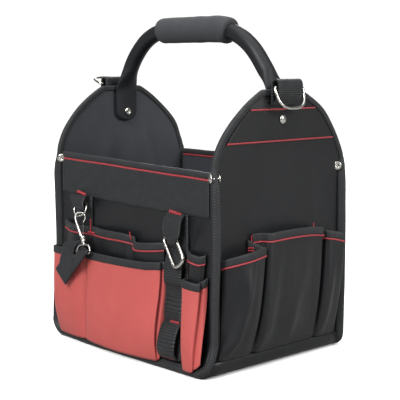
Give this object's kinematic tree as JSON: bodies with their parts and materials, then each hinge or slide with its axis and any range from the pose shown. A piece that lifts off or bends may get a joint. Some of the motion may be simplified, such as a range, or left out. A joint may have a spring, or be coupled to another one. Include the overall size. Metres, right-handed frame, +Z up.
{
  "type": "tool bag",
  "caption": "Open-topped cloth tool bag with gabled ends, a folding steel tube handle with a foam grip, pleated pockets, webbing straps and clips.",
  "frame": {"origin": "middle of the base's underside", "axes": "+Z up, -Y towards the front with the large pocket, +X towards the right-hand end"},
  "size_m": [0.325, 0.2373, 0.3837],
  "materials": {
    "cloth": "plain-woven black polyester",
    "red_cloth": "plain-woven red polyester",
    "binding": "ribbed black edge tape",
    "webbing": "heavy black webbing",
    "foam": "matt closed-cell foam",
    "painted_steel": "satin black powder coat",
    "nickel": "bright nickel plate"
  },
  "bodies": {
    "bag": {"front_panel": "cloth", "back_panel": "cloth", "base_panel": "cloth", "end_panel_left": "cloth", "end_panel_right": "cloth", "front_binding": "binding", "back_binding": "binding", "corner_rivet_front_left": "nickel", "corner_rivet_front_right": "nickel", "corner_rivet_back_left": "nickel", "corner_rivet_back_right": "nickel", "front_rim_binding": "binding", "back_rim_binding": "binding", "gable_binding_left": "binding", "gable_binding_right": "binding", "front_band": "webbing", "gable_patch_left": "cloth", "gable_patch_right": "cloth", "handle_rivet_left": "nickel", "handle_rivet_right": "nickel", "d_ring_loop_left": "webbing", "d_ring_loop_right": "webbing", "front_pocket_large": "red_cloth", "front_pocket_large_binding": "binding", "front_pocket_small": "red_cloth", "front_pocket_small_binding": "binding", "tool_pocket_left": "cloth", "tool_pocket_left_binding": "binding", "tool_pocket_right": "cloth", "tool_pocket_right_binding": "binding", "end_pocket_right_front": "cloth", "end_pocket_right_front_binding": "binding", "end_pocket_right_middle": "cloth", "end_pocket_right_middle_binding": "binding", "end_pocket_right_back": "cloth", "end_pocket_right_back_binding": "binding", "end_pocket_left_front": "cloth", "end_pocket_left_front_binding": "binding", "end_pocket_left_middle": "cloth", "end_pocket_left_middle_binding": "binding", "end_pocket_left_back": "cloth", "end_pocket_left_back_binding": "binding", "strap_base": "webbing", "strap_loops": "webbing", "carabiner": "nickel", "hook_strap_base": "webbing", "hook_tab": "webbing", "hook_ring": "nickel", "snap_hook": "nickel", "snap_hook_eye": "nickel", "hook_strap": "webbing"},
    "handle": {"handle_tube": "painted_steel", "handle_grip": "foam"},
    "d_ring_left": {"d_ring_left": "nickel"},
    "d_ring_right": {"d_ring_right": "nickel"},
    "carabiner_gate": {"carabiner_gate": "nickel"},
    "snap_hook_gate": {"snap_hook_gate": "nickel"}
  },
  "joints": [
    {"name": "handle_swing", "type": "hinge", "parent": "bag", "child": "handle", "pos_m": [0, 0, 0.2696], "axis": [1, 0, 0], "range_deg": [-105, 105]},
    {"name": "d_ring_left_swing", "type": "hinge", "parent": "bag", "child": "d_ring_left", "pos_m": [-0.14511, -0.006, 0.3045], "axis": [0, 1, 0], "range_deg": [-90, 40]},
    {"name": "d_ring_right_swing", "type": "hinge", "parent": "bag", "child": "d_ring_right", "pos_m": [0.14511, 0, 0.3045], "axis": [0, -1, 0], "range_deg": [-10, 130]},
    {"name": "carabiner_gate_turn", "type": "hinge", "parent": "bag", "child": "carabiner_gate", "pos_m": [0.08602, -0.11223, 0.11935], "axis": [0, 0.9743, -0.2253], "range_deg": [0, 14], "stiffness_Nm_per_rad": 0.05},
    {"name": "snap_hook_gate_turn", "type": "hinge", "parent": "bag", "child": "snap_hook_gate", "pos_m": [-0.06236, -0.12055, 0.13281], "axis": [0.6128, -0.5946, 0.5205], "range_deg": [0, 12], "stiffness_Nm_per_rad": 0.03}
  ]
}
